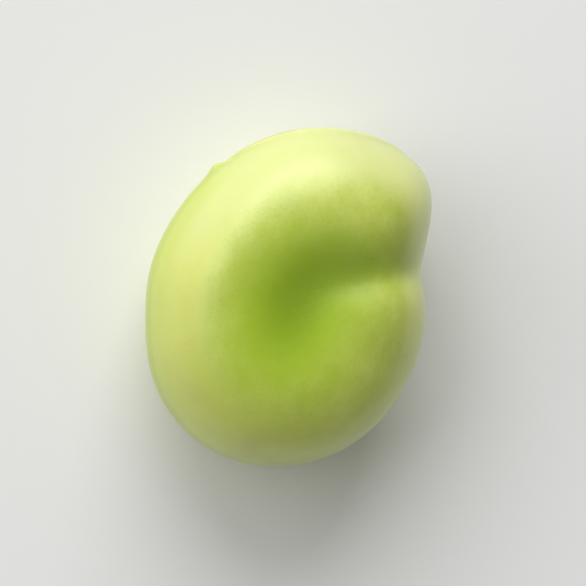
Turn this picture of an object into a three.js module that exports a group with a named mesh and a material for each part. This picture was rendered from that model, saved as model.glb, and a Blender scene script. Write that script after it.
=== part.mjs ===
// A fresh shelled fava bean, one closed solid.
// Millimetres, +Z up. The bean lies on one of its two broad faces.
// Y is its length with the eye (hilum) end at -Y, X its width and Z its thickness.
// The origin lies on the resting plane, under the middle of the bean's box.
import * as THREE from "three";

// Main sizes
const LENGTH = 22.14;
const WIDTH = 17.88;
const THICK_UPPER = 7.6; // from the middle plane to the upper face, before its relief
const THICK_LOWER = 6.65; // and to the lower face
const REST_DEPTH = 6.17; // the surface it rests on, below the middle plane
const SECTION_POWER = 2.32; // 2 is an ellipse, more is a fuller rim
const LEAN_X = -0.031; // how the faces lean, in mm of height for each mm along
const LEAN_Y = 0.018;
const TAPER_Y = -0.015; // how the thickness grows along Y, as a share at the rim
const RIM_BLEND = 0.35; // how far from the rim the two faces' reliefs melt together

// The outline seen from above: angle round Z in degrees, how wide, and how far it stands out
const OUTLINE_SWELLS = [
  { name: "root lobe", at: -113.8, wide: 17.4, rise: 1.185 },
  { name: "flank", at: -138.7, wide: 29.8, rise: -1.241 },
  { name: "belly", at: -47.8, wide: 55.3, rise: -0.424 },
  { name: "shoulder", at: 40, wide: 17.2, rise: -0.22 },
  { name: "far lobe", at: 138.5, wide: 34.3, rise: 0.642 },
  { name: "notch", at: -143.5, wide: 6, rise: -0.12 },
];

// The fold that runs in from the notch, over the rim and down into each face's dimple
const FOLD_ROUTE = [
  [-8.4, -5.7],
  [-5.2, -4.4],
  [-2.6, -3.1],
  [-0.2, -1.5],
  [0.7, 0.5],
  [0.1, 3.6],
];
const FOLD_UPPER = { depth: [0.55, 0.8, 0.68, 0.5, 0.4, 0.25], wide: [1.2, 1.4, 1.75, 2.1, 2.5, 3.0] };
const FOLD_LOWER = { depth: [0.6, 0.8, 0.75, 0.6, 0.45, 0.25], wide: [1.2, 1.5, 1.9, 2.4, 2.8, 3.0] };
const FOLD_SKEW = [0.4, 0.5, 0.7, 0.8, 0.7, 0.3]; // how much wider it is on its outer side
const FOLD_STEPS = 48;
const FOLD_BLEND = 5; // how crisply the steps along the fold join

// Swells and dents of each broad face: middle, reach along X and Y, height
const UPPER_RELIEF = [
  { name: "dimple", x: -0.3, y: 1.3, reachX: 5.8, reachY: 6.0, rise: -1.2 },
  { name: "eye end band", x: 0.8, y: -8.4, reachX: 6.5, reachY: 2.6, rise: 0.3 },
  { name: "root lobe", x: -6.4, y: -1.4, reachX: 2.8, reachY: 3.0, rise: 0.38 },
  { name: "shoulder", x: 6.6, y: 1.5, reachX: 1.9, reachY: 6.2, rise: 0.4 },
];
const LOWER_RELIEF = [
  { name: "dimple", x: 0.2, y: 0.9, reachX: 3.2, reachY: 3.8, rise: -0.8 },
  { name: "eye end band", x: 1.2, y: -6.2, reachX: 5.0, reachY: 2.9, rise: 0.45 },
  { name: "root lobe", x: -4.6, y: 3.0, reachX: 2.9, reachY: 3.4, rise: 0.52 },
  { name: "shoulder", x: 4.8, y: 3.8, reachX: 2.9, reachY: 3.8, rise: 0.75 },
];

// The eye: a long scar in the rim with a slit in it, and a lip above
const EYE = {
  at: -71, // angle round Z of its middle, in degrees
  half: 34, // half its length, in degrees
  wide: 7.5, // half its width, in degrees round the rim
  skew: 0.55, // how much wider the scar is above the slit than below it
  point: 0.3, // how wide it still is at its ends, as a share
  open: 0.9, // how soon it reaches its full depth from its ends
  floor: 0.3, // depth of the scar
  floorFrom: 0.1, // where its floor ends and its bank is over, as shares of its half width
  floorTo: 1.2,
  slit: 0.45, // depth of the slit below that
  slitWide: 2.2, // half its width, in degrees
  slitSkew: 0.45, // how much wider the slit is towards the stub
  lip: 0.1,
  lipSkew: 0.8, // how much higher the lip is above the slit than below it
  lipAt: 1.35, // where the lip's crest runs, as a share of the scar's half width
  lipWide: 0.4,
};
const STUB = { at: -31.5, rise: 0.3, reach: 0.6 }; // the end of the seed stalk
const PORE = { at: -109.5, rise: -0.35, reach: 0.42 }; // beside the root lobe
const SPOT_POWER = 1.6; // how steeply the stub and the pore end
const SEAM = { rise: 0.12, reach: 0.9, from: 0.25, full: 0.42 }; // faint, round the rim

// The grid: rings round the eye's slit, out to the far end
const RINGS = 52;
const AROUND = 76;
const RING_START = 0.2; // share of even spacing, the rest crowds the rings towards the slit
const FAR_END = Math.PI - 1e-4;

const radians = THREE.MathUtils.degToRad;
const smooth = THREE.MathUtils.smoothstep;
const bell = (d) => Math.exp(-d * d);
const turn = (a, b) => ((((a - b) % 360) + 540) % 360) - 180;

// A direction on the unit sphere, away from the slit by one angle and round it by the other.
// The rings are ellipses about the slit's two ends on a flat plane, rolled onto the sphere: the
// first one is the slit itself, the last is the far end.
function direction(away, angle) {
  const across = Math.tan(Math.min(away, FAR_END) / 2);
  const along = Math.hypot(across, Math.tan(radians(EYE.half) / 2));
  const a = along * Math.cos(angle);
  const b = across * Math.sin(angle);
  const m = a * a + b * b;
  const d = new THREE.Vector3((2 * a) / (1 + m), (m - 1) / (1 + m), (2 * b) / (1 + m));
  return d.applyAxisAngle(new THREE.Vector3(0, 0, 1), radians(EYE.at + 90));
}

// The outline's distance from the middle at an angle round Z, in degrees
function outline(degrees) {
  const a = radians(degrees);
  const plain = 1 / Math.hypot(Math.cos(a) / (WIDTH / 2), Math.sin(a) / (LENGTH / 2));
  return OUTLINE_SWELLS.reduce((r, s) => r + s.rise * bell(turn(degrees, s.at) / s.wide), plain);
}

const routeCorners = FOLD_ROUTE.map(([x, y]) => new THREE.Vector3(x, y, 0));
const route = new THREE.CatmullRomCurve3(routeCorners, false, "catmullrom").getPoints(FOLD_STEPS);

// The value at a share of the way along an evenly spaced list
function valueAt(values, share) {
  const place = share * (values.length - 1);
  const low = Math.min(Math.floor(place), values.length - 2);
  return THREE.MathUtils.lerp(values[low], values[low + 1], place - low);
}

// Depth of the fold at a place: bells along its route, wider on its outer side, joined smoothly
function fold(x, y, shape) {
  let sum = 0;
  for (let i = 1; i < FOLD_STEPS; i++) {
    const share = i / FOLD_STEPS;
    const wide = valueAt(shape.wide, share);
    const ahead = route[i + 1].clone().sub(route[i - 1]).divideScalar(2);
    const length = ahead.length();
    const offX = x - route[i].x;
    const offY = y - route[i].y;
    const side = Math.tanh((offX * ahead.y - offY * ahead.x) / (length * wide));
    const reach = wide * (1 + (valueAt(FOLD_SKEW, share) * (1 + side)) / 2);
    const near = valueAt(shape.depth, share) * bell(Math.hypot(offX, offY) / reach);
    sum += (Math.pow(near, FOLD_BLEND) * length) / (wide * Math.sqrt(Math.PI / FOLD_BLEND));
  }
  return Math.pow(sum, 1 / FOLD_BLEND);
}

function relief(x, y, swells, foldShape) {
  const rise = (s) => s.rise * bell(Math.hypot((x - s.x) / s.reachX, (y - s.y) / s.reachY));
  return swells.reduce((sum, s) => sum + rise(s), 0) - fold(x, y, foldShape);
}

// The eye's own relief: e is 0 on the slit and 1 at the edge of the scar, which draws in to a
// point at both ends
function eyeRise(away, angle) {
  const side = Math.sin(angle);
  const point = EYE.point + (1 - EYE.point) * Math.sqrt(Math.abs(side));
  const e = away / radians(EYE.wide * (1 + EYE.skew * side) * point);
  const slitReach = radians(EYE.slitWide * point * (1 + EYE.slitSkew * Math.cos(angle)));
  const scar = -EYE.floor * (1 - smooth(e, EYE.floorFrom, EYE.floorTo));
  const slit = -EYE.slit * bell(away / slitReach);
  const lip = EYE.lip * bell((e - EYE.lipAt) / EYE.lipWide) * (1 + EYE.lipSkew * side);
  return (scar + slit + lip) * smooth(Math.abs(side), 0, EYE.open);
}

// A point of the bean's skin
function surface(away, angle) {
  const d = direction(away, angle);
  const flat = Math.hypot(d.x, d.y);
  const fill = Math.pow(flat ** SECTION_POWER + Math.abs(d.z) ** SECTION_POWER, -1 / SECTION_POWER);
  const degrees = THREE.MathUtils.radToDeg(Math.atan2(d.y, d.x));
  const out = new THREE.Vector3(d.x, d.y, 0).normalize();
  const r = outline(degrees) * flat * fill;
  const x = r * out.x;
  const y = r * out.y;
  const h = d.z * fill;
  const upper = smooth(h, -RIM_BLEND, RIM_BLEND);
  const taper = 1 + (TAPER_Y * y) / (LENGTH / 2);
  const top = THICK_UPPER * taper + relief(x, y, UPPER_RELIEF, FOLD_UPPER);
  const bottom = THICK_LOWER * taper + relief(x, y, LOWER_RELIEF, FOLD_LOWER);
  const z = h * (upper * top + (1 - upper) * bottom) + LEAN_X * x + LEAN_Y * y;
  const bare = new THREE.Vector3(x, y, z);
  const seam = SEAM.rise * bell(z / SEAM.reach) * smooth(away, SEAM.from, SEAM.full);
  const p = bare.clone().addScaledVector(out, eyeRise(away, angle) + seam);
  for (const spot of [STUB, PORE]) {
    const a = radians(spot.at);
    const spotOut = new THREE.Vector3(Math.cos(a), Math.sin(a), 0);
    const distance = bare.distanceTo(spotOut.clone().multiplyScalar(outline(spot.at)));
    p.addScaledVector(spotOut, spot.rise * Math.exp(-((distance / spot.reach) ** SPOT_POWER)));
  }
  p.z = Math.max(p.z + REST_DEPTH, 0);
  return p;
}

// Rings joined to their neighbours. The first ring is folded on the slit, the last is one point.
function beanGeometry() {
  const positions = [];
  const faces = [];
  const number = [];
  for (let ring = 0; ring <= RINGS; ring++) {
    number.push([]);
    for (let step = 0; step < AROUND; step++) {
      const twin = ring === 0 && step > AROUND / 2 ? AROUND - step : step;
      if (ring === RINGS && step > 0) number[ring].push(number[ring][0]);
      else if (twin !== step) number[ring].push(number[ring][twin]);
      else {
        const share = ring / RINGS;
        const away = Math.PI * (RING_START * share + (1 - RING_START) * share * share);
        number[ring].push(positions.length / 3);
        positions.push(...surface(away, (step / AROUND) * 2 * Math.PI).toArray());
      }
    }
  }
  for (let ring = 0; ring < RINGS; ring++)
    for (let step = 0; step < AROUND; step++) {
      const next = (step + 1) % AROUND;
      const [a, b] = [number[ring][step], number[ring][next]];
      const [c, d] = [number[ring + 1][next], number[ring + 1][step]];
      for (const f of [[a, c, b], [a, d, c]])
        if (new Set(f).size === 3) faces.push(...f);
    }
  const geometry = new THREE.BufferGeometry();
  geometry.setAttribute("position", new THREE.Float32BufferAttribute(positions, 3));
  geometry.setIndex(faces);
  geometry.computeBoundingBox();
  const middle = geometry.boundingBox.getCenter(new THREE.Vector3());
  geometry.translate(-middle.x, -middle.y, 0);
  geometry.computeVertexNormals();
  return geometry;
}

const seedCoat = new THREE.MeshStandardMaterial({ color: 0xa9bf6a, roughness: 0.42, metalness: 0 });

const bean = new THREE.Group();
const seed = new THREE.Mesh(beanGeometry(), seedCoat);
seed.name = "fava_bean";
bean.add(seed);

export default bean;
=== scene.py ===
import bpy
import numpy as np
from mathutils import Matrix, Vector


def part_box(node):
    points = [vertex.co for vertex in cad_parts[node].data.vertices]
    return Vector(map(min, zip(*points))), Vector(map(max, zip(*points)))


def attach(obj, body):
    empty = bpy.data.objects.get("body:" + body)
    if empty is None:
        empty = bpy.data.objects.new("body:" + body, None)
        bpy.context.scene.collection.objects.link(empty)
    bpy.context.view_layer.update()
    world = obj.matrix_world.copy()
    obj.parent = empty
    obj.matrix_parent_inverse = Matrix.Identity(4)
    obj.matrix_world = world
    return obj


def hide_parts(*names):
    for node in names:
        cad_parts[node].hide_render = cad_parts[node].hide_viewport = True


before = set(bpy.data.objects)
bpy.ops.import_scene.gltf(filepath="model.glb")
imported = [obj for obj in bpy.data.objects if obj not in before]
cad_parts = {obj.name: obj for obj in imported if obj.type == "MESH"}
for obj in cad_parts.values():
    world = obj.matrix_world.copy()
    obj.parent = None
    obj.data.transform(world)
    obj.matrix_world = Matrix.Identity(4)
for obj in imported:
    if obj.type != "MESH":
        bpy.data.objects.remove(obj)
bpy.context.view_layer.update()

millimetre = 0.001
print("frame loaded")

# What shapes the bean. Y is its length with the eye end at -Y, X its width, Z its thickness.
beanForm = {
    "length": 22.14,
    "width": 17.88,
    "upper": 7.6,  # from the middle plane to the upper face, before its relief
    "lower": 6.65,
    "restDepth": 6.17,  # the surface it rests on, below the middle plane
    "sectionPower": 2.32,  # 2 is an ellipse, more is a fuller rim
    "leanX": -0.031,
    "leanY": 0.018,
    "taperY": -0.015,
    "rimBlend": 0.35,  # how far from the rim the two faces' reliefs melt together
    # the outline: angle round Z in degrees, how wide, how far it stands out
    "outline": {
        "root lobe": (-113.8, 17.4, 1.185),
        "flank": (-138.7, 29.8, -1.241),
        "belly": (-47.8, 55.3, -0.424),
        "shoulder": (40, 17.2, -0.22),
        "far lobe": (138.5, 34.3, 0.642),
        "notch": (-143.5, 6, -0.12),
    },
    # the fold from the notch down into the dimple, with its depths and widths along the way
    "foldRoute": [(-8.4, -5.7), (-5.2, -4.4), (-2.6, -3.1), (-0.2, -1.5), (0.7, 0.5), (0.1, 3.6)],
    "foldUpper": ([0.55, 0.8, 0.68, 0.5, 0.4, 0.25], [1.2, 1.4, 1.75, 2.1, 2.5, 3.0]),
    "foldLower": ([0.6, 0.8, 0.75, 0.6, 0.45, 0.25], [1.2, 1.5, 1.9, 2.4, 2.8, 3.0]),
    "foldSkew": [0.4, 0.5, 0.7, 0.8, 0.7, 0.3],  # how much wider it is on the outer side of its bend
    "foldSteps": 48,
    "foldBlend": 5,  # how crisply the steps along the fold join
    # swells and dents of each face: middle x and y, reach along x and y, height
    "upperRelief": {
        "dimple": (-0.3, 1.3, 5.8, 6.0, -1.2),
        "eye end band": (0.8, -8.4, 6.5, 2.6, 0.3),
        "root lobe": (-6.4, -1.4, 2.8, 3.0, 0.38),
        "shoulder": (6.6, 1.5, 1.9, 6.2, 0.4),
    },
    "lowerRelief": {
        "dimple": (0.2, 0.9, 3.2, 3.8, -0.8),
        "eye end band": (1.2, -6.2, 5.0, 2.9, 0.45),
        "root lobe": (-4.6, 3.0, 2.9, 3.4, 0.52),
        "shoulder": (4.8, 3.8, 2.9, 3.8, 0.75),
    },
    "eyeAt": -71,  # angle round Z of the eye's middle, in degrees
    "eyeHalf": 34,  # half its length, in degrees
    "eyeWide": 7.5,  # half its width, in degrees round the rim
    "eyeSkew": 0.55,  # how much wider it is above the slit than below it
    "eyePoint": 0.3,  # how wide it still is at its ends
    "eyeOpens": 0.9,  # how far round from its ends, as a sine, it is fully open
    "scarDepth": 0.3,
    "scarEdge": (0.1, 1.2),  # where its floor ends and where it meets the skin, in half widths
    "slitDepth": 0.45,
    "slitWide": 2.2,
    "slitSkew": 0.45,  # how much wider the slit is towards the stub
    "lipRise": 0.1,
    "lipSkew": 0.8,
    "lipAt": 1.35,
    "lipWide": 0.4,
    "stain": (1.1, 1.3, 0.8),  # below the slit: where, reach, and the sine at which it is full
    "stub": (-31.5, 0.3, 0.6),  # the end of the seed stalk: angle, rise, reach
    "pore": (-109.5, -0.35, 0.42),  # the pore beside the root lobe
    "spotPower": 1.6,  # 2 is a bell, less is more pointed
    "seam": (0.12, 0.9, 0.25, 0.42),  # round the rim: rise, reach, where it starts and is full
    "flowStretch": 0.35,  # how drawn out the streaks are that run from the eye to the far end
    "green": (0.4, 2.2, 5.0, 6.6),  # the green of the dimples, partly the skin's own and partly painted shade: middle x and y, reach along x and y
    "greenDent": 0.35,  # how much of it follows the depth of the dents instead, as painted shade in them
    "dentFull": 1.6,  # a dent this deep counts in full
    # where the other colours lie: each from where to where along its own measure
    "zones": {
        "face": (0.1, 0.7),  # height from the rim, as a share
        "ringOut": (0.6, 0.85),  # distance from the middle, as a share
        "ringUp": (0.05, 0.5),  # height from the rim, as a share
        "ringEnd": (-16, 0),  # x less ringSlope times y, so it fades from the lit upper left towards the far lobe, as painted shade
        "keelUp": (1.2, 4.4),  # height from the middle plane
        "keelStart": (0.3, 0.9),  # angle away from the slit
        "keelSide": (-0.1, 0.8),  # cosine of the turn round the slit, 1 is the stub's side
        "eyeEnd": (0.9, 1.8),  # angle away from the slit
        "farEnd": (1.7, 2.8),  # angle away from the slit
        "stubEnd": (-0.2, 0.8),  # cosine of the turn round the slit
    },
    "ringSlope": 0.45,
    "rings": 290,
    "around": 308,
    "ringStart": 0.3,  # share of even spacing, the rest crowds the rings towards the slit
    "poleGap": 0.0001,  # how short of the far end the last ring stops, where its tangent has no value
}


def bell(d):
    return np.exp(-d * d)  # 1 at nought, falling away smoothly on both sides


def ease(x, low, high):
    # 0 below low, 1 above high, an S between them
    t = np.clip((x - low) / (high - low), 0, 1)
    return t * t * (3 - 2 * t)


def routeCurve(route, steps):
    # A smooth curve through the points: between two of them it is the cubic whose slope at each
    # is half the step from the point before to the point after
    points = np.array(route)
    ghosts = np.vstack([2 * points[0] - points[1], points, 2 * points[-1] - points[-2]])
    place = np.linspace(0, len(points) - 1, steps + 1)
    stretch = np.minimum(place.astype(int), len(points) - 2)
    t = (place - stretch)[:, None]
    before, start, stop, after = (ghosts[stretch + k] for k in range(4))
    slopeA = (stop - before) / 2
    slopeB = (after - start) / 2
    return (
        (2 * t**3 - 3 * t**2 + 1) * start
        + (t**3 - 2 * t**2 + t) * slopeA
        + (3 * t**2 - 2 * t**3) * stop
        + (t**3 - t**2) * slopeB
    )


def outlineRadius(degrees, form):
    # Distance from the middle to the rim: an ellipse, plus a bell for each swell
    a = np.radians(degrees)
    radius = 1 / np.hypot(np.cos(a) / (form["width"] / 2), np.sin(a) / (form["length"] / 2))
    for at, wide, rise in form["outline"].values():
        apart = (degrees - at + 540) % 360 - 180  # kept between -180 and 180
        radius = radius + rise * bell(apart / wide)
    return radius


def foldDepth(x, y, foldShape, form):
    # Bells along the fold's route, joined by a high power mean so that their sum stays smooth
    steps = form["foldSteps"]
    power = form["foldBlend"]
    curve = routeCurve(form["foldRoute"], steps)
    share = np.linspace(0, 1, steps + 1)
    shape = (*foldShape, form["foldSkew"])
    depths, widths, skews = (np.interp(share, np.linspace(0, 1, len(v)), v) for v in shape)
    total = np.zeros(x.shape)
    for i in range(1, steps):
        ahead = (curve[i + 1] - curve[i - 1]) / 2
        length = np.linalg.norm(ahead)
        offX, offY = x - curve[i, 0], y - curve[i, 1]
        side = np.tanh((offX * ahead[1] - offY * ahead[0]) / (length * widths[i]))
        near = depths[i] * bell(np.hypot(offX, offY) / (widths[i] * (1 + skews[i] * (1 + side) / 2)))
        total += near**power * length / (widths[i] * np.sqrt(np.pi / power))
    return total ** (1 / power)


def faceRelief(x, y, swells):
    # Sum of the face's swells and dents
    height = np.zeros(x.shape)
    for middleX, middleY, reachX, reachY, rise in swells.values():
        height = height + rise * bell(np.hypot((x - middleX) / reachX, (y - middleY) / reachY))
    return height


def ringDirection(away, angle, form):
    # Unit directions: confocal ellipses about the slit's two ends on a flat plane, rolled onto a
    # sphere, so away is 0 on the slit itself and pi at the far end
    across = np.tan(np.minimum(away, np.pi - form["poleGap"]) / 2)
    along = np.hypot(across, np.tan(np.radians(form["eyeHalf"]) / 2))
    a = along * np.cos(angle)
    b = across * np.sin(angle)
    m = a * a + b * b
    x, y, z = 2 * a / (1 + m), (m - 1) / (1 + m), 2 * b / (1 + m)
    t = np.radians(form["eyeAt"] + 90)
    return x * np.cos(t) - y * np.sin(t), x * np.sin(t) + y * np.cos(t), z


def beanSurface(away, angle, form):
    # A point of the skin for each pair: the rounded section stretched to the outline and the
    # thickness, plus the relief of its face, the eye, the seam, the stub and the pore
    dx, dy, dz = ringDirection(away, angle, form)
    flat = np.hypot(dx, dy)
    power = form["sectionPower"]
    fill = (flat**power + np.abs(dz) ** power) ** (-1 / power)
    outX, outY = dx / flat, dy / flat
    radius = outlineRadius(np.degrees(np.arctan2(dy, dx)), form) * flat * fill
    x, y, h = radius * outX, radius * outY, dz * fill
    upper = ease(h, -form["rimBlend"], form["rimBlend"])
    taper = 1 + form["taperY"] * y / (form["length"] / 2)
    creaseUp, creaseDown = (foldDepth(x, y, form[name], form) for name in ("foldUpper", "foldLower"))
    reliefUp = faceRelief(x, y, form["upperRelief"]) - creaseUp
    reliefDown = faceRelief(x, y, form["lowerRelief"]) - creaseDown
    thick = upper * (form["upper"] * taper + reliefUp)
    thick = thick + (1 - upper) * (form["lower"] * taper + reliefDown)
    z = h * thick + form["leanX"] * x + form["leanY"] * y

    # e is 0 on the slit and 1 at the scar's edge, which draws in to a point at both ends
    side = np.sin(angle)
    point = form["eyePoint"] + (1 - form["eyePoint"]) * np.sqrt(np.abs(side))
    e = away / np.radians(form["eyeWide"] * (1 + form["eyeSkew"] * side) * point)
    opening = ease(np.abs(side), 0, form["eyeOpens"])
    scar = (1 - ease(e, *form["scarEdge"])) * opening
    lengthways = 1 + form["slitSkew"] * np.cos(angle)
    slit = bell(away / np.radians(form["slitWide"] * point * lengthways)) * opening
    lip = bell((e - form["lipAt"]) / form["lipWide"]) * opening * (1 + form["lipSkew"] * side)
    stainAt, stainReach, stainFull = form["stain"]
    stain = bell((e - stainAt) / stainReach) * opening * ease(-side, 0, stainFull)
    seamRise, seamReach, seamFrom, seamFull = form["seam"]
    seam = bell(z / seamReach) * ease(away, seamFrom, seamFull)
    rise = form["lipRise"] * lip - form["scarDepth"] * scar - form["slitDepth"] * slit + seamRise * seam
    bare = np.stack([x, y, z], -1)
    skin = np.stack([x + outX * rise, y + outY * rise, z], -1)
    spots = {}
    for name in ("stub", "pore"):
        at, height, reach = form[name]
        out = np.array([np.cos(np.radians(at)), np.sin(np.radians(at)), 0])
        distance = np.linalg.norm(bare - out * outlineRadius(np.float64(at), form), axis=-1)
        spots[name] = np.exp(-((distance / reach) ** form["spotPower"]))
        skin = skin + out * (height * spots[name])[..., None]
    # what would pass through the surface it rests on is pressed flat
    skin[..., 2] = np.maximum(skin[..., 2] + form["restDepth"], 0)

    # masks of where each colour lies, most of them from 0 to 1, and the crease shade the fold's depth
    zones = form["zones"]
    heightShare = np.abs(h)
    onFace = ease(heightShare, *zones["face"])
    dent = np.clip(-(upper * reliefUp + (1 - upper) * reliefDown) / form["dentFull"], 0, 1)
    greenX, greenY, greenWide, greenLong = form["green"]
    green = bell(np.hypot((x - greenX) / greenWide, (y - greenY) / greenLong))
    green = form["greenDent"] * dent + (1 - form["greenDent"]) * green
    # the pale band round the face: partly the skin's paler shoulder, partly painted light laid stronger
    # on the lit side
    paleBandAndLight = ease(flat * fill, *zones["ringOut"]) * ease(heightShare, *zones["ringUp"])
    keel = (1 - ease(np.abs(z), *zones["keelUp"])) * ease(away, *zones["keelStart"])
    masks = {
        "scar": scar,
        "slit": slit,
        "lip": lip,
        "stain": stain,
        "seam": seam,
        "green": green * onFace,
        # painted shade along the fold, as strong as the fold is deep
        "creaseShade": (upper * creaseUp + (1 - upper) * creaseDown) * onFace,
        "paleBandAndLight": paleBandAndLight * ease(x - form["ringSlope"] * y, *zones["ringEnd"]),
        "keel": keel * ease(np.cos(angle), *zones["keelSide"]),
        "eyeEnd": 1 - ease(away, *zones["eyeEnd"]),
        "farEnd": ease(away, *zones["farEnd"]),
        "stubEnd": ease(np.cos(angle), *zones["stubEnd"]),
        **spots,
    }
    flow = np.stack([np.cos(angle), np.sin(angle), form["flowStretch"] * away], -1)
    return skin, masks, flow


def ringMesh(name, skin, masks, flow):
    # Rings joined to their neighbours. The first one is folded onto the slit, so its far half takes
    # the near half's points, and the last one is a single point.
    rings, around = skin.shape[:2]
    number = np.arange(rings * around).reshape(rings, around)
    number[0, around // 2 + 1 :] = number[0, 1 : around - around // 2][::-1]
    number[-1, :] = number[-1, 0]
    a, b = number[:-1], np.roll(number[:-1], -1, 1)
    c, d = np.roll(number[1:], -1, 1), number[1:]
    halves = [np.stack(corners, -1).reshape(-1, 3) for corners in ([a, c, b], [a, d, c])]
    faces = np.concatenate(halves)
    # a triangle with two corners on one point is left out
    whole = (faces[:, 0] != faces[:, 1]) & (faces[:, 1] != faces[:, 2]) & (faces[:, 0] != faces[:, 2])
    faces = faces[whole]
    used, faces = np.unique(faces, return_inverse=True)
    faces = faces.reshape(-1, 3)
    mesh = bpy.data.meshes.new(name)
    mesh.vertices.add(len(used))
    mesh.vertices.foreach_set("co", (skin.reshape(-1, 3)[used] * millimetre).ravel())
    mesh.loops.add(faces.size)
    mesh.loops.foreach_set("vertex_index", faces.ravel().astype(np.int32))
    mesh.polygons.add(len(faces))
    mesh.polygons.foreach_set("loop_start", np.arange(0, faces.size, 3, dtype=np.int32))
    mesh.update(calc_edges=True)
    mesh.validate()
    mesh.shade_smooth()
    for maskName, values in masks.items():
        layer = mesh.attributes.new(maskName, "FLOAT", "POINT")
        layer.data.foreach_set("value", values.ravel()[used].astype(np.float32))
    layer = mesh.attributes.new("flow", "FLOAT_VECTOR", "POINT")
    layer.data.foreach_set("vector", flow.reshape(-1, 3)[used].astype(np.float32).ravel())
    piece = bpy.data.objects.new(name, mesh)
    bpy.context.scene.collection.objects.link(piece)
    return piece


def makeBean(form):
    # The grid of the two parameters, laid so that the rings crowd towards the slit. The middle of
    # the bean's box comes over the origin.
    share = np.linspace(0, 1, form["rings"] + 1)
    rings = np.pi * (form["ringStart"] * share + (1 - form["ringStart"]) * share**2)
    turns = np.arange(form["around"]) * 2 * np.pi / form["around"]
    away, angle = np.meshgrid(rings, turns, indexing="ij")
    skin, masks, flow = beanSurface(away, angle, form)
    flatSkin = skin.reshape(-1, 3)
    skin[..., :2] -= (flatSkin[:, :2].min(0) + flatSkin[:, :2].max(0)) / 2
    return ringMesh("seed_skin", skin, masks, flow)


def addNode(tree, kind, inputs=None, **settings):
    node = tree.nodes.new(kind)
    for name, value in settings.items():
        setattr(node, name, value)
    for key, value in (inputs or {}).items():
        if isinstance(value, bpy.types.NodeSocket):
            tree.links.new(value, node.inputs[key])
        else:
            node.inputs[key].default_value = value
    return node


def mixColour(tree, factor, under, over):
    # a colour mix has its two colours in sockets 6 and 7
    mix = addNode(tree, "ShaderNodeMix", {0: factor, 6: under, 7: over}, data_type="RGBA")
    return mix.outputs[2]


def mathNode(tree, operation, a, b):
    return addNode(tree, "ShaderNodeMath", {0: a, 1: b}, operation=operation).outputs[0]


def spread(tree, value, low, high):
    # 0 to 1 as value goes from low to high, with soft ends
    inputs = {"Value": value, "From Min": low, "From Max": high}
    return addNode(tree, "ShaderNodeMapRange", inputs, interpolation_type="SMOOTHSTEP").outputs[0]


def colour(red, green, blue):
    # An sRGB colour of 0 to 255 as the linear one that a socket holds: straight near black, a
    # power above it
    s = np.array([red, green, blue]) / 255
    linear = np.where(s <= 0.04045, s / 12.92, ((s + 0.055) / 1.055) ** 2.4)
    return (*linear.tolist(), 1.0)


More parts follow.
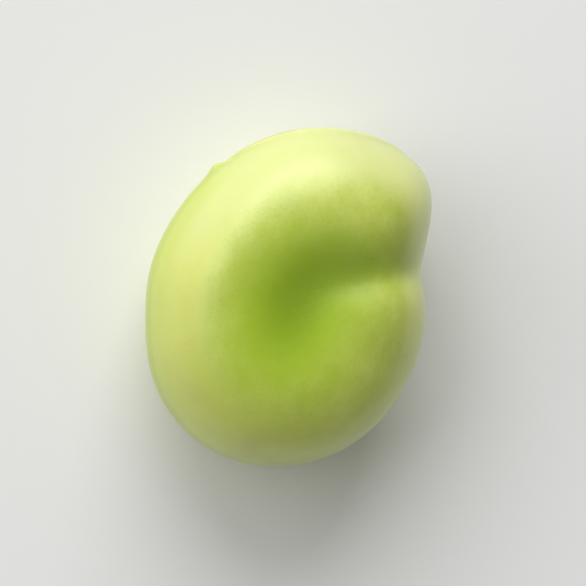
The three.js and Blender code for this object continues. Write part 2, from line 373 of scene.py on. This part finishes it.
seedCoat = {
    "base": colour(202, 213, 92),
    # noises: scale, detail, roughness, and whether they follow the streaks or the plain space
    "noises": {
        "patches": (150, 2, 0.5, False),
        "mottle": (900, 4, 0.6, False),
        "pores": (5200, 2, 0.6, False),
        "streaks": (8, 5, 0.6, True),
        "fibres": (34, 3, 0.6, True),
        "stains": (420, 5, 0.65, False),
    },
    # colours laid one over another: the masks multiplied, from where to where, how much, colour
    "layers": [
        (("patches",), 0.25, 0.8, 1.0, colour(172, 190, 58)),
        (("mottle",), 0.3, 0.8, 0.24, colour(226, 230, 142)),
        (("pores",), 0.52, 0.72, 0.22, colour(146, 168, 48)),
        (("streaks",), 0.42, 0.72, 0.24, colour(222, 228, 132)),
        # the pale band: partly the skin's paler shoulder, partly painted light on the lit upper left
        # and a painted highlight at the eye end's rim
        (("paleBandAndLight",), 0.0, 1.0, 0.8, colour(211, 217, 108)),
        # whiter at the eye end: partly the skin's paler colour there, partly a painted highlight on the
        # band
        (("paleBandAndLight", "eyeEnd"), 0.0, 1.0, 0.4, colour(217, 222, 168)),
        # the dimples' green: partly the skin's own colour, partly painted shade and painted bounce
        # light deepening with the dents
        (("green",), 0.05, 1.0, 1.0, colour(160, 193, 2)),
        # painted shade: darker olive along the fold, deepest where it meets the dimples' green
        (("creaseShade",), 0.1, 0.8, 0.14, colour(106, 130, 14)),
        (("creaseShade", "green"), 0.05, 0.5, 0.66, colour(102, 130, 4)),
        (("keel",), 0.0, 1.0, 0.62, colour(197, 211, 54)),
        (("farEnd", "patches"), 0.2, 0.7, 0.45, colour(190, 200, 94)),
        (("seam",), 0.0, 1.0, 0.3, colour(150, 168, 60)),
        (("stains", "patches"), 0.3, 0.5, 0.22, colour(196, 172, 104)),
        # cream on the lip: partly its paler colour, partly a painted highlight along its crest
        (("lip",), 0.3, 1.8, 0.45, colour(222, 228, 164)),
        (("stain", "stains"), 0.15, 0.65, 0.6, colour(210, 172, 118)),
        (("scar",), 0.0, 0.8, 1.0, colour(190, 176, 92)),
        (("scar", "fibres"), 0.3, 0.7, 0.4, colour(150, 118, 62)),
        (("slit",), 0.08, 0.45, 0.95, colour(112, 74, 40)),
        (("slit", "fibres", "stubEnd"), 0.2, 0.5, 0.6, colour(150, 118, 84)),
        # near black in the slit: partly its dark tissue, partly painted shade of its depth
        (("slit",), 0.5, 0.85, 1.0, colour(26, 17, 8)),
        (("stub",), 0.0, 1.0, 0.5, colour(226, 230, 160)),
        (("pore",), 0.35, 0.9, 0.9, colour(104, 70, 36)),
    ],
    "roughness": (0.36, 0.52),  # from the smoothest to the roughest of the mottling
    "scarRoughness": 0.7,
    "scarDulls": (0.1, 0.7),  # where the scar's mask starts to dull the skin, and where it is dull
    "coat": 0.8,
    "dimpleMatt": 0.75,  # how much of the waxy coat the green of the dimples takes away
    # what the bump adds up: signal and share
    "relief": {"mottle": 0.55, "pores": 0.22, "streaks": 0.35},
    "reliefStrength": 0.55,
    "reliefHeight": 0.00008,
    # the same all over the skin
    "shader": {
        "Subsurface Weight": 0.3,
        "Subsurface Radius": (0.9, 1.0, 0.3),
        "Subsurface Scale": 0.0015,
        "Coat Roughness": 0.36,
        "Sheen Weight": 0.12,
        "Sheen Roughness": 0.5,
        "Sheen Tint": (0.95, 1.0, 0.75, 1.0),
    },
}


def makeSeedCoat(look):
    # Colours laid over a base by masks of the mesh and by noises, waxy on the skin, dull in the scar
    material = bpy.data.materials.new("seed coat")
    material.use_nodes = True
    tree = material.node_tree
    tree.nodes.clear()
    place = addNode(tree, "ShaderNodeTexCoord").outputs["Object"]
    flow = addNode(tree, "ShaderNodeAttribute", attribute_name="flow").outputs["Vector"]
    signals = {}
    for name, (scale, detail, roughness, follows) in look["noises"].items():
        inputs = {
            "Vector": flow if follows else place,
            "Scale": scale,
            "Detail": detail,
            "Roughness": roughness,
        }
        signals[name] = addNode(tree, "ShaderNodeTexNoise", inputs).outputs["Fac"]

    def signal(name):
        if name not in signals:
            signals[name] = addNode(tree, "ShaderNodeAttribute", attribute_name=name).outputs["Fac"]
        return signals[name]

    skin = look["base"]
    for names, low, high, amount, tint in look["layers"]:
        value = signal(names[0])
        for name in names[1:]:
            value = mathNode(tree, "MULTIPLY", value, signal(name))
        value = mathNode(tree, "MULTIPLY", spread(tree, value, low, high), amount)
        skin = mixColour(tree, value, skin, tint)

    low, high = look["roughness"]
    inputs = {"Value": signal("mottle"), "To Min": low, "To Max": high}
    rough = addNode(tree, "ShaderNodeMapRange", inputs).outputs[0]
    dull = spread(tree, signal("scar"), *look["scarDulls"])
    inputs = {0: dull, 2: rough, 3: look["scarRoughness"]}  # a number mix has its two in 2 and 3
    rough = addNode(tree, "ShaderNodeMix", inputs).outputs[0]
    matt = mathNode(tree, "MULTIPLY", signal("green"), look["dimpleMatt"])
    matt = mathNode(tree, "MAXIMUM", dull, matt)
    coat = mathNode(tree, "MULTIPLY", mathNode(tree, "SUBTRACT", 1.0, matt), look["coat"])
    grain = 0.0
    for name, share in look["relief"].items():
        inputs = {0: signal(name), 1: share, 2: grain}
        grain = addNode(tree, "ShaderNodeMath", inputs, operation="MULTIPLY_ADD").outputs[0]
    inputs = {"Height": grain, "Strength": look["reliefStrength"], "Distance": look["reliefHeight"]}
    bump = addNode(tree, "ShaderNodeBump", inputs)
    inputs = {
        "Base Color": skin,
        "Roughness": rough,
        "Normal": bump.outputs["Normal"],
        "Coat Weight": coat,
        **look["shader"],
    }
    shader = addNode(tree, "ShaderNodeBsdfPrincipled", inputs)
    out = addNode(tree, "ShaderNodeOutputMaterial")
    tree.links.new(shader.outputs[0], out.inputs["Surface"])
    return material


seedSkin = makeBean(beanForm)
seedSkin.data.materials.append(makeSeedCoat(seedCoat))
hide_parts("fava_bean")
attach(seedSkin, "root")
print("bean made:", len(seedSkin.data.polygons), "triangles")

studio = {
    "floorSize": 1.6,
    "floorColour": (0.86, 0.86, 0.87, 1.0),
    "floorRoughness": 0.7,
    "floorGloss": 0.2,
    # each light: where it comes from across the floor, its elevation, distance, size and power
    "lights": {
        "key": ((0.575, -0.818), 32, 0.7, 0.66, 4.45),
        "fill": ((0.99, 0.139), 38, 0.8, 0.8, 2.8),
    },
    "worldColour": (0.98, 1.0, 0.9, 1.0),
    "worldStrength": 0.25,
    "pictureUp": (0.456, -0.890),  # the picture's up direction, across the floor
    "cameraLean": 12,  # degrees from straight down, towards the picture's left
    "cameraDistance": 0.5,
    "cameraReach": (0.05, 5),  # the nearest and farthest that it sees
    "frameWidth": 0.037,  # what the picture's width covers, at the bean
}


def makeFloor(look):
    half = look["floorSize"] / 2
    mesh = bpy.data.meshes.new("floor")
    corners = [(-half, -half, 0), (half, -half, 0), (half, half, 0), (-half, half, 0)]
    mesh.from_pydata(corners, [], [(0, 1, 2, 3)])
    floor = bpy.data.objects.new("floor", mesh)
    bpy.context.scene.collection.objects.link(floor)
    material = bpy.data.materials.new("pale floor")
    material.use_nodes = True
    tree = material.node_tree
    shader = tree.nodes["Principled BSDF"]
    shader.inputs["Base Color"].default_value = look["floorColour"]
    shader.inputs["Roughness"].default_value = look["floorRoughness"]
    shader.inputs["Specular IOR Level"].default_value = look["floorGloss"]
    mesh.materials.append(material)


def aimed(location, target, up):
    # A matrix at location that looks along -Z towards target, with Y as near up as it can be
    back = (location - target).normalized()
    side = up.cross(back).normalized()
    turned = Matrix((side, back.cross(side), back)).transposed().to_4x4()
    return Matrix.Translation(location) @ turned


def makeStudio(look, middle):
    world = bpy.data.worlds.new("soft surround")
    bpy.context.scene.world = world
    world.use_nodes = True
    background = world.node_tree.nodes["Background"]
    background.inputs["Color"].default_value = look["worldColour"]
    background.inputs["Strength"].default_value = look["worldStrength"]
    for name, (source, elevation, distance, size, power) in look["lights"].items():
        lift = np.radians(elevation)
        across = Vector((*source, 0)).normalized()
        towards = across * float(np.cos(lift)) + Vector((0, 0, float(np.sin(lift))))
        light = bpy.data.lights.new(name, "AREA")
        light.shape = "DISK"
        light.size = size
        light.energy = power
        lamp = bpy.data.objects.new(name, light)
        lamp.matrix_world = aimed(middle + towards * distance, middle, Vector((0, 1, 0)))
        lamp.visible_camera = False
        bpy.context.scene.collection.objects.link(lamp)


def makeCamera(look, middle):
    up = Vector((*look["pictureUp"], 0)).normalized()
    left = Vector((0, 0, 1)).cross(up)
    lean = np.radians(look["cameraLean"])
    back = Vector((0, 0, 1)) * float(np.cos(lean)) + left * float(np.sin(lean))
    lens = bpy.data.cameras.new("camera")
    lens.angle = 2 * float(np.arctan(look["frameWidth"] / 2 / look["cameraDistance"]))
    lens.clip_start, lens.clip_end = look["cameraReach"]
    camera = bpy.data.objects.new("camera", lens)
    camera.matrix_world = aimed(middle + back * look["cameraDistance"], middle, up)
    bpy.context.scene.collection.objects.link(camera)
    bpy.context.scene.camera = camera


beanLow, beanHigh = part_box("fava_bean")
beanMiddle = (Vector(beanLow) + Vector(beanHigh)) / 2
makeFloor(studio)
makeStudio(studio, beanMiddle)
makeCamera(studio, beanMiddle)
bpy.context.scene.view_settings.view_transform = "Standard"
print("studio made")
